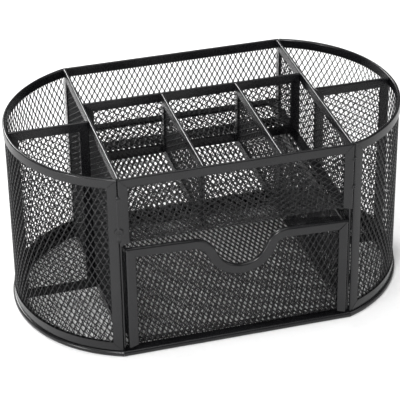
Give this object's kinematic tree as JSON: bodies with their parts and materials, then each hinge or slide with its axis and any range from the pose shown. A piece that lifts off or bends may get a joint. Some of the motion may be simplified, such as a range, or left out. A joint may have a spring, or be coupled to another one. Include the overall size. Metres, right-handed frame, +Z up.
{
  "type": "desk organizer",
  "caption": "Open desk organizer in coated expanded steel mesh, with bowed ends, divided bins and a sliding drawer under a shelf",
  "frame": {"origin": "on the desk, under the middle of the base's bounding box", "axes": "+X along the length to the viewer's right when facing the drawer, +Y from the drawer towards the back wall, +Z up"},
  "size_m": [0.222, 0.1334, 0.11],
  "materials": {
    "strip_coat": "satin black powder coat on folded steel strip",
    "mesh_coat": "satin black powder coat on expanded steel mesh"
  },
  "bodies": {
    "organizer": {"base_edge": "strip_coat", "base_mesh": "mesh_coat", "left_end_mesh": "mesh_coat", "left_end_rim": "strip_coat", "left_end_foot": "strip_coat", "left_end_front_strip": "strip_coat", "right_end_mesh": "mesh_coat", "right_end_rim": "strip_coat", "right_end_foot": "strip_coat", "right_end_front_strip": "strip_coat", "back_rim": "strip_coat", "back_foot": "strip_coat", "back_mesh": "mesh_coat", "front_panel_frame": "strip_coat", "front_panel_mesh": "mesh_coat", "left_divider_frame": "strip_coat", "left_divider_mesh": "mesh_coat", "right_divider_frame": "strip_coat", "right_divider_mesh": "mesh_coat", "left_cross_frame": "strip_coat", "left_cross_mesh": "mesh_coat", "right_cross_frame": "strip_coat", "right_cross_mesh": "mesh_coat", "shelf_mesh": "mesh_coat", "shelf_side_strips": "strip_coat", "shelf_back_strip": "strip_coat", "long_divider_frame": "strip_coat", "long_divider_mesh": "mesh_coat", "short_left_frame": "strip_coat", "short_left_mesh": "mesh_coat", "short_right_frame": "strip_coat", "short_right_mesh": "mesh_coat"},
    "drawer": {"drawer_front_frame": "strip_coat", "drawer_front_lip": "strip_coat", "drawer_front_mesh": "mesh_coat", "drawer_floor": "mesh_coat", "drawer_left_trim": "strip_coat", "drawer_left_mesh": "mesh_coat", "drawer_right_trim": "strip_coat", "drawer_right_mesh": "mesh_coat", "drawer_back_trim": "strip_coat", "drawer_back_mesh": "mesh_coat"}
  },
  "joints": [
    {"name": "drawer_slide", "type": "slide", "parent": "organizer", "child": "drawer", "axis": [0, -1, 0], "range_m": [0, 0.1]}
  ]
}
